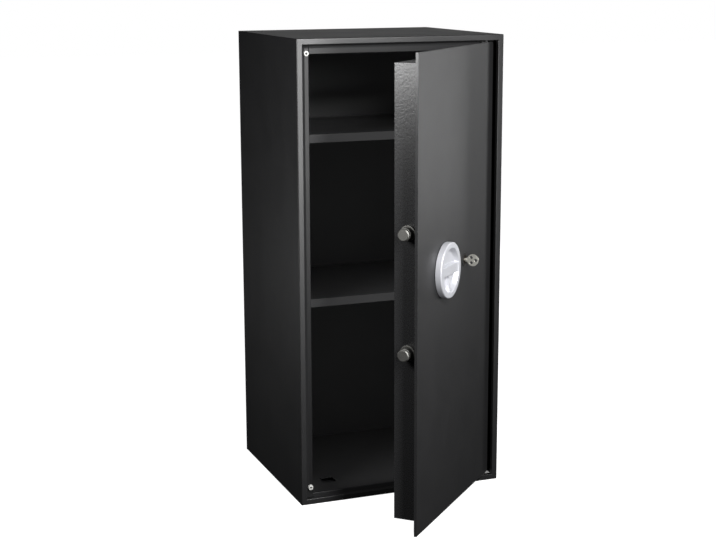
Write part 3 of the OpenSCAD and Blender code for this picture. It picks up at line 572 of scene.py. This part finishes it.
def rounded(corners, radii, steps=5):
    """A closed outline whose corners are arcs: each arc runs between the points where it leaves
    the two sides, and its middle lies on the corner's bisector at radius over the sine of the
    half angle."""
    p = np.asarray(corners, float)
    r = np.broadcast_to(np.asarray(radii, float), len(p))
    before = np.roll(p, 1, axis=0) - p
    after = np.roll(p, -1, axis=0) - p
    a = before / np.linalg.norm(before, axis=1, keepdims=True)
    b = after / np.linalg.norm(after, axis=1, keepdims=True)
    half = np.arccos(np.clip((a * b).sum(1), -1, 1)) / 2
    middle = (a + b) / np.linalg.norm(a + b, axis=1, keepdims=True)
    centre = p + middle * (r / np.sin(half))[:, None]
    reach = (r / np.tan(half))[:, None]
    start, end = a * reach + p - centre, b * reach + p - centre
    sweep = math.pi - 2 * half
    s = np.linspace(0, 1, steps + 1)
    w0 = np.sin((1 - s)[None] * sweep[:, None]) / np.sin(sweep)[:, None]
    w1 = np.sin(s[None] * sweep[:, None]) / np.sin(sweep)[:, None]
    arcs = centre[:, None] + w0[..., None] * start[:, None] + w1[..., None] * end[:, None]
    return arcs.reshape(-1, 2)


print("a rounded square has", len(rounded([(0, 0), (1, 0), (1, 1), (0, 1)], 0.2)), "points")

# %% [markdown]
# ## The folded body
# The real body is one sheet wrapped round, with its front edge folded in as a rim and folded again
# into the door's rebate. Eight separate panels would show seams where the folds are. One profile
# carried round a rectangle has none: each point of the profile has an inset from the outside and a
# depth, and the rectangle's corners are arcs. The four anchor holes in the base are cut afterwards.

# %% Carry a profile round a rectangle


def round_frame(profile, width, low_z, high_z, corner, steps=6):
    """Profile (inset, depth) carried round a rectangle. A point at turn angle a of a corner lies
    at the corner's centre plus (r cos a, r sin a), where r is the corner's outer radius less the
    inset, never under 0.15."""
    inset, depth = profile[:, 0][:, None], profile[:, 1][:, None]
    quarter = np.linspace(0, math.pi / 2, steps + 1)
    turn = (quarter[None] + math.pi / 2 * np.arange(4)[:, None]).ravel()
    side_x = np.repeat([1.0, -1.0, -1.0, 1.0], steps + 1)
    side_z = np.repeat([1.0, 1.0, -1.0, -1.0], steps + 1)
    radius = np.maximum(corner - inset, 0.15)
    half_x, half_z = width / 2 - inset - radius, (high_z - low_z) / 2 - inset - radius
    x = side_x * half_x + radius * np.cos(turn)
    z = (low_z + high_z) / 2 + side_z * half_z + radius * np.sin(turn)
    return np.stack([x, np.broadcast_to(depth, x.shape), z], axis=-1)


RIM, REBATE, SHEET = 11.0, 9.5, 3.0
OUTER_FOLD, INNER_FOLD, CORNER = 1.8, 1.1, 1.2
sheet_profile = rounded([(0, BODY_D - SHEET), (0, 0), (RIM, 0), (RIM, REBATE),
                         (RIM - SHEET, REBATE), (RIM - SHEET, SHEET), (SHEET, SHEET),
                         (SHEET, BODY_D - SHEET)],
                        [0.3, OUTER_FOLD, INNER_FOLD, 0.3, 0.3, 0.4, 0.4, 0.3], 7)
body_grid = on_cabinet(round_frame(sheet_profile, BODY_W, 0.0, BODY_H, CORNER))
body_shell = from_grid("body_shell", body_grid, body_paint, "cabinet", close_rows=True,
                       close_columns=True, slot="body_paint",
                       stands_for=("side_panel_left", "side_panel_right", "roof_panel",
                                   "floor_panel", "stile_left", "stile_right", "rail_top",
                                   "rail_bottom"))
print("points round the body:", body_grid.shape[:2])

# %% Drill the anchor holes
ANCHOR_X, ANCHOR_Y, ANCHOR_R = 120, 90, 6.25


def drill(x, y, radius, low_z, high_z):
    """An upright cylinder to cut with: a circle of 48 points at two heights, closed to its axis."""
    a = np.linspace(0, 2 * math.pi, 48, endpoint=False)
    rims = [(0.0, low_z), (radius, low_z), (radius, high_z), (0.0, high_z)]
    grid = np.stack([np.stack([x + r * np.cos(a), y + r * np.sin(a), np.full_like(a, z)], -1)
                     for r, z in rims])
    return from_grid("drill", on_cabinet(grid), body_paint, "cabinet", close_columns=True)


def carve(piece, cutters):
    """Cuts the cutters' shapes out of a piece for good, and removes the cutters."""
    for cutter in cutters:
        cut = piece.modifiers.new("cut", "BOOLEAN")
        cut.operation, cut.object, cut.solver = "DIFFERENCE", cutter, "EXACT"
        piece.modifiers.move(len(piece.modifiers) - 1, 0)
    flats = piece.modifiers["flats"]
    flats.show_viewport = False
    bpy.context.view_layer.update()
    seen = piece.evaluated_get(bpy.context.evaluated_depsgraph_get())
    done = bpy.data.meshes.new_from_object(seen)
    for cut in [m for m in piece.modifiers if m.type == "BOOLEAN"]:
        piece.modifiers.remove(cut)
    flats.show_viewport = True
    piece.data = done
    done.name = piece.name
    done.polygons.foreach_set("use_smooth", np.ones(len(done.polygons), bool))
    done.set_sharp_from_angle(angle=math.radians(SHARP_DEGREES))
    for cutter in cutters:
        bpy.data.objects.remove(cutter)


carve(body_shell, [drill(sx * ANCHOR_X, BODY_D / 2 + sy * ANCHOR_Y, ANCHOR_R, -5, 6)
                   for sx in (-1, 1) for sy in (-1, 1)])
print("body shell faces:", len(body_shell.data.polygons))

# %% [markdown]
# ## Plain sheet pieces
# Stops, shelves, the armour plate and the walls of the door's box are right as the CAD has them,
# except that real sheet never has a knife edge. Drawing them anew could only repeat their sizes, so
# a merged copy of each node gets a small bevel and the paint, and stands for the node. The key and
# the lock's case are flat pieces too, and are made the same way.

# %% Copies of sheet pieces with broken edges


def softened(node, material, width, slot):
    """A merged copy of a CAD node with its edges rounded by width mm."""
    source = frame["nodes"][node]
    mesh = source.data.copy()
    work = bmesh.new()
    work.from_mesh(mesh)
    bmesh.ops.remove_doubles(work, verts=work.verts, dist=1e-6)
    bmesh.ops.dissolve_limit(work, angle_limit=math.radians(0.4), verts=work.verts,
                             edges=work.edges)
    work.to_mesh(mesh)
    work.free()
    return finish_mesh(node + "_skin", mesh, material, source["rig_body"], stands_for=(node,),
                       slot=slot, bevel=width)


SHEETS = [
    # nodes, finish, bevel in mm, slot of the record
    (("back_panel",), body_paint, 0.8, "body_paint"),
    (("door_plate",), door_paint, 0.9, "body_paint"),
    (("stop_left", "stop_top", "stop_bottom", "jamb_strip"), stop_paint, 1.0, "inner_paint"),
    (("shelf_upper", "shelf_lower"), shelf_paint, 0.9, "inner_paint"),
    (("inner_floor", "floor_bearers"), shelf_paint, 0.4, "inner_paint"),
    (("upright_front_left", "upright_front_right", "upright_rear_left", "upright_rear_right"),
     inner_paint, 0.3, "inner_paint"),
    (("box_side_free", "box_side_hinge", "box_wall_top", "box_wall_bottom", "box_cover"),
     box_paint, 0.6, "box_paint"),
    (("hinge_block_top", "hinge_block_bottom"), black_steel, 0.6, "plain_steel"),
    (("door_key",), nickel, 0.35, "nickel"),
    (("lock_case", "lock_cover"), nickel, 0.4, "nickel"),
    (("bolt_bar",), rolled_steel, 0.4, "plain_steel"),
]
for nodes, material, width, slot in SHEETS:
    for node in nodes:
        softened(node, material, width, slot)
print("sheet pieces:", sum(len(nodes) for nodes, *_ in SHEETS))

# %% [markdown]
# ## Turned pieces
# Bolts, collars, buffers and the washer come off a lathe: a profile of distance and radius is
# carried once round an axis. The Spin tool does that too, but leaves a seam to weld, and a grid
# wraps round by itself. The profile's corners are arcs, because a lathe tool leaves them.

# %% Surfaces of revolution


def lathe(profile, origin, axis="x", turns=48):
    """Points (s, r) of a profile carried round the line through origin: s runs along the axis,
    r away from it."""
    s, r = np.asarray(profile, float).T
    a = np.linspace(0, 2 * math.pi, turns, endpoint=False)
    along = np.broadcast_to(s[:, None], (len(s), turns))
    one, two = r[:, None] * np.cos(a), r[:, None] * np.sin(a)
    order = {"x": (along, one, two), "y": (one, along, two), "z": (one, two, along)}[axis]
    return np.stack(order, axis=-1) + np.asarray(origin, float)


def turned_profile(points, radii, steps=3):
    """An open profile that starts and ends on the axis, with its other corners rounded."""
    inner = rounded(points, np.concatenate([[1e-6], radii, [1e-6]]), steps)
    return inner[steps:-steps]


print("a disc of radius 5 reaches", lathe([(0, 0), (0, 5)], (0, 0, 0)).max())

# %% [markdown]
# ## Locking bolts
# Each bolt is a round steel bar with a chamfered tip and a shallow groove behind it. It slides in a
# stepped collar that stays on the door. A plain cylinder has the size, but not the thin dark line
# of the groove, so both are turned from a drawn profile, in the same steel.

# %% Bolts and collars
bolt_profile = turned_profile([(-191, 0), (-191, 9.2), (-189.2, 11), (-185, 11), (-184.6, 10),
                               (-183.4, 10), (-183, 11), (-78, 11), (-78, 0)],
                              [0.5, 0.7, 0.3, 0.15, 0.15, 0.3, 0.4])
collar_profile = rounded([(-170, 11.05), (-170, 14), (-166, 14), (-166, 13), (-158, 13),
                          (-158, 11.05)], [0.3, 0.8, 0.1, 0.1, 0.3, 0.1], 3)
for end, z in BOLT_Z.items():
    from_grid("locking_bolt_" + end, on_door(lathe(bolt_profile, (0, BOLT_Y, z))),
              bolt_steel[end], "bolts", close_columns=True, stands_for=("bolt_" + end,),
              slot="steel")
    from_grid("collar_" + end, on_door(lathe(collar_profile, (0, BOLT_Y, z))), bolt_steel[end],
              "door", close_rows=True, close_columns=True, stands_for=("bolt_collar_" + end,),
              slot="steel")
print("bolts and collars at heights, mm:", list(BOLT_Z.values()))

# %% [markdown]
# ## Buffers and washer
# The two white rings on the door stop are nylon buffers with a dished face and a dark bore. A torus
# would be too round for them, so they are turned as well. They are one node in the CAD, so the
# upper one stands for it. A thin bright washer carries the door at its lower pin.

# %% Buffers and hinge washer
BUFFER_X, BUFFER_TURNS = -184.5, 40
buffer_profile = rounded([(5.3, 2.0), (5.9, 4.6), (9.5, 5.5), (9.5, 2.0)], [0.5, 0.9, 0.2, 0.2], 4)
for name, z, nodes in (("buffer_low", 31.0, ()), ("buffer_high", 848.0, ("door_buffers",))):
    from_grid(name, on_cabinet(lathe(buffer_profile, (BUFFER_X, 0, z), "y", BUFFER_TURNS)), nylon,
              "cabinet", close_rows=True, close_columns=True, stands_for=nodes, slot="nylon")
washer_profile = rounded([(11.0, 3.55), (13.8, 3.55), (13.8, 7.0), (11.0, 7.0)],
                         [0.3, 0.3, 0.5, 0.3], 3)
from_grid("thrust_washer", on_cabinet(lathe(washer_profile, (*PIVOT, 0), "z")), zinc, "cabinet",
          close_rows=True, close_columns=True, stands_for=("hinge_washer",), slot="steel")
print("buffer and washer points:", len(buffer_profile), len(washer_profile))

# %% [markdown]
# ## The round handle
# The handle is a casting: a ring, a dish, a grip across it and a rib that widens where it meets the
# grip. Cutting it from cylinders would leave hard creases, and a casting has none. So it is one
# height field over polar coordinates: the height at a point is the greatest of the ring's, the
# grip's and the rib's, and each rises over a short smooth step. Side and back close the shape.

# %% The handle's height field
HANDLE_X, HANDLE_Z, HANDLE_R = -59.0, 470.5, 50.5
FACE, DISH, MOUTH_R, DISH_R = 12.4, 3.8, 40.2, 35.5
GRIP_HALF, RIB_HALF, FLARE = 10.3, 4.0, 5.0
STEEP, CREST = 4.5, 1.3


def join(a, b, soft):
    """The higher of two heights, with a fillet: half of a + b + the root of (a - b) squared +
    soft squared."""
    return (a + b + np.sqrt((a - b) ** 2 + soft ** 2)) / 2


def trim(a, b, soft):
    """The lower of two heights, with its edge rounded off: the same sum less the root."""
    return (a + b - np.sqrt((a - b) ** 2 + soft ** 2)) / 2


def handle_height(across, upward_mm):
    """Height in front of the plate, in mm: a flat dish and a conical wall up to the ring's face; a
    grip whose ends run up that wall; a rib that flares under the grip along an arc of radius
    FLARE. Steep sides rise STEEP mm per mm, and the rib ends in a slope under the grip."""
    far = np.hypot(across, upward_mm)
    wall = DISH + (FACE - DISH) * (far - DISH_R) / (MOUTH_R - DISH_R)
    basin = join(wall, DISH, 1.6)
    grip_side = DISH + STEEP * (GRIP_HALF - np.abs(upward_mm))
    grip = trim(join(wall, FACE - 2.4, 2.2), grip_side, CREST)
    below = np.clip(-GRIP_HALF - upward_mm, 0, FLARE)
    half = RIB_HALF + FLARE - np.sqrt(FLARE ** 2 - (FLARE - below) ** 2)
    rib = trim(join(wall, FACE - 2.8, 1.6), DISH + STEEP * (half - np.abs(across)), CREST)
    rib = trim(rib, DISH - 2 * (upward_mm + 3), 1.0)
    return trim(join(join(basin, grip, 0.7), rib, 0.7), FACE, 0.6)


print("height in the handle's middle, mm:", round(float(handle_height(0.0, 0.0)), 2))

# %% Cast the handle
rings = np.concatenate([np.linspace(0, 32, 72), np.linspace(32.3, 43.0, 42)])
turn = np.linspace(0, 2 * math.pi, 600, endpoint=False)
u, w = rings[:, None] * np.cos(turn), rings[:, None] * np.sin(turn)
face = np.stack([u, -handle_height(u, w), w], axis=-1)
whole_edge = rounded([(30.0, -FACE), (HANDLE_R, -FACE), (HANDLE_R, -0.6), (0.001, -0.6)],
                     [0.0001, 2.2, 0.6, 0.0001], 6)
edge_r, edge_y = whole_edge[7:, 0][:, None], whole_edge[7:, 1][:, None]
edge_grid = np.stack([edge_r * np.cos(turn), np.broadcast_to(edge_y, (len(edge_y), len(turn))),
                      edge_r * np.sin(turn)], axis=-1)
handle_grid = np.concatenate([face, edge_grid]) + np.array([HANDLE_X, 0, HANDLE_Z])
from_grid("round_handle", on_door(handle_grid), silver, "handle", close_columns=True,
          stands_for=("handle_wheel",), slot="silver", sharp=60)
print("handle points:", handle_grid.shape[:2])

# %% [markdown]
# ## What the CAD already has right
# Inner lock parts, pins and screws are small and mostly hidden, and their CAD meshes have the right
# shape, so they stay. Each gets a finish that suits its metal.

# %% Finishes for the carried-over nodes
CARRIED = {
    "hinge_plate_top": stop_paint,
    "hinge_plate_bottom": bright_zinc,
    "hinge_pin_top": black_steel,
    "hinge_pin_bottom": zinc,
    "shelf_clips": zinc,
    "cover_screws": zinc,
    "fixed_dogs": zinc,
    "bolt_guide_upper": rolled_steel,
    "bolt_guide_lower": rolled_steel,
    "spindle_bush": bronze,
    "hard_plate": rolled_steel,
    "lock_screws": zinc,
    "key_rose": black_gloss,
    "bolt_bar_screws": zinc,
    "handle_spindle": zinc,
    "drive_disc": rolled_steel,
    "spindle_clip": rolled_steel,
    "lock_plug": dark_bronze,
    "lock_tongue": rolled_steel,
}
for node, material in CARRIED.items():
    slots = frame["nodes"][node].data.materials
    slots.clear()
    slots.append(material)
print("carried over:", len(CARRIED))
